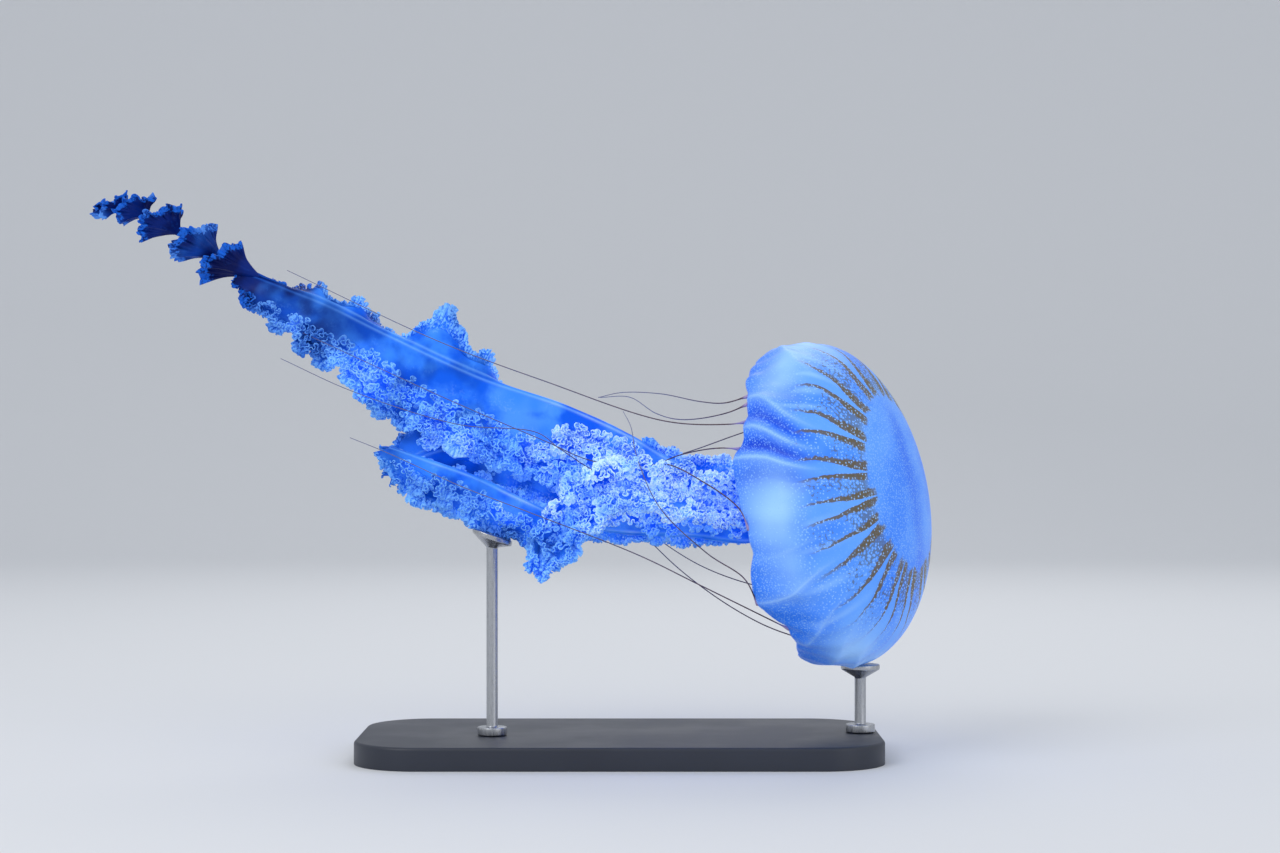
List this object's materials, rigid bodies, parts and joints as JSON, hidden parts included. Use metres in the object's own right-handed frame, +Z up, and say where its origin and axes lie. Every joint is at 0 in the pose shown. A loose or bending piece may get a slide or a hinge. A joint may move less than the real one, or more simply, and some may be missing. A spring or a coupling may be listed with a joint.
{
  "type": "jellyfish",
  "caption": "Still life-size sea nettle jellyfish, swimming: striped bell, frilled oral arms and thread tentacles trailing behind, held on a flat stand by rods.",
  "frame": {"origin": "centre of the underside of the stand's base", "axes": "+Z up, +X along the animal's length, the way the crown of its bell points, and +Y towards its far side"},
  "size_m": [0.5222, 0.1925, 0.344],
  "materials": {
    "bell_jelly": "wet translucent blue jelly with brown streaks and pale specks",
    "arm_jelly": "wet translucent blue jelly with pale curled frills",
    "tentacle_thread": "dark brown thread",
    "stand_plate": "satin dark blue",
    "stand_steel": "brushed"
  },
  "bodies": {
    "root": {"bell": "bell_jelly", "bell_margin": "bell_jelly", "manubrium": "arm_jelly", "arm_top_1": "arm_jelly", "arm_top_2": "arm_jelly", "arm_top_3": "arm_jelly", "arm_top_4": "arm_jelly", "arm_foot_1": "arm_jelly", "arm_foot_2": "arm_jelly", "arm_foot_3": "arm_jelly", "arm_near_1": "arm_jelly", "arm_near_2": "arm_jelly", "arm_far_1": "arm_jelly", "arm_far_2": "arm_jelly", "arm_far_3": "arm_jelly", "tentacle_01_root": "tentacle_thread", "tentacle_01_tip": "tentacle_thread", "tentacle_02_root": "tentacle_thread", "tentacle_02_tip": "tentacle_thread", "tentacle_03_root": "tentacle_thread", "tentacle_03_tip": "tentacle_thread", "tentacle_04_root": "tentacle_thread", "tentacle_04_tip": "tentacle_thread", "tentacle_05_root": "tentacle_thread", "tentacle_05_tip": "tentacle_thread", "tentacle_06_root": "tentacle_thread", "tentacle_06_tip": "tentacle_thread", "tentacle_07_root": "tentacle_thread", "tentacle_07_tip": "tentacle_thread", "tentacle_08_root": "tentacle_thread", "tentacle_08_tip": "tentacle_thread", "tentacle_09_root": "tentacle_thread", "tentacle_09_tip": "tentacle_thread", "tentacle_10_root": "tentacle_thread", "tentacle_10_tip": "tentacle_thread", "tentacle_11_root": "tentacle_thread", "tentacle_11_tip": "tentacle_thread", "stand_base": "stand_plate", "stand_bell_rod": "stand_steel", "stand_arm_rod": "stand_steel"}
  },
  "joints": []
}
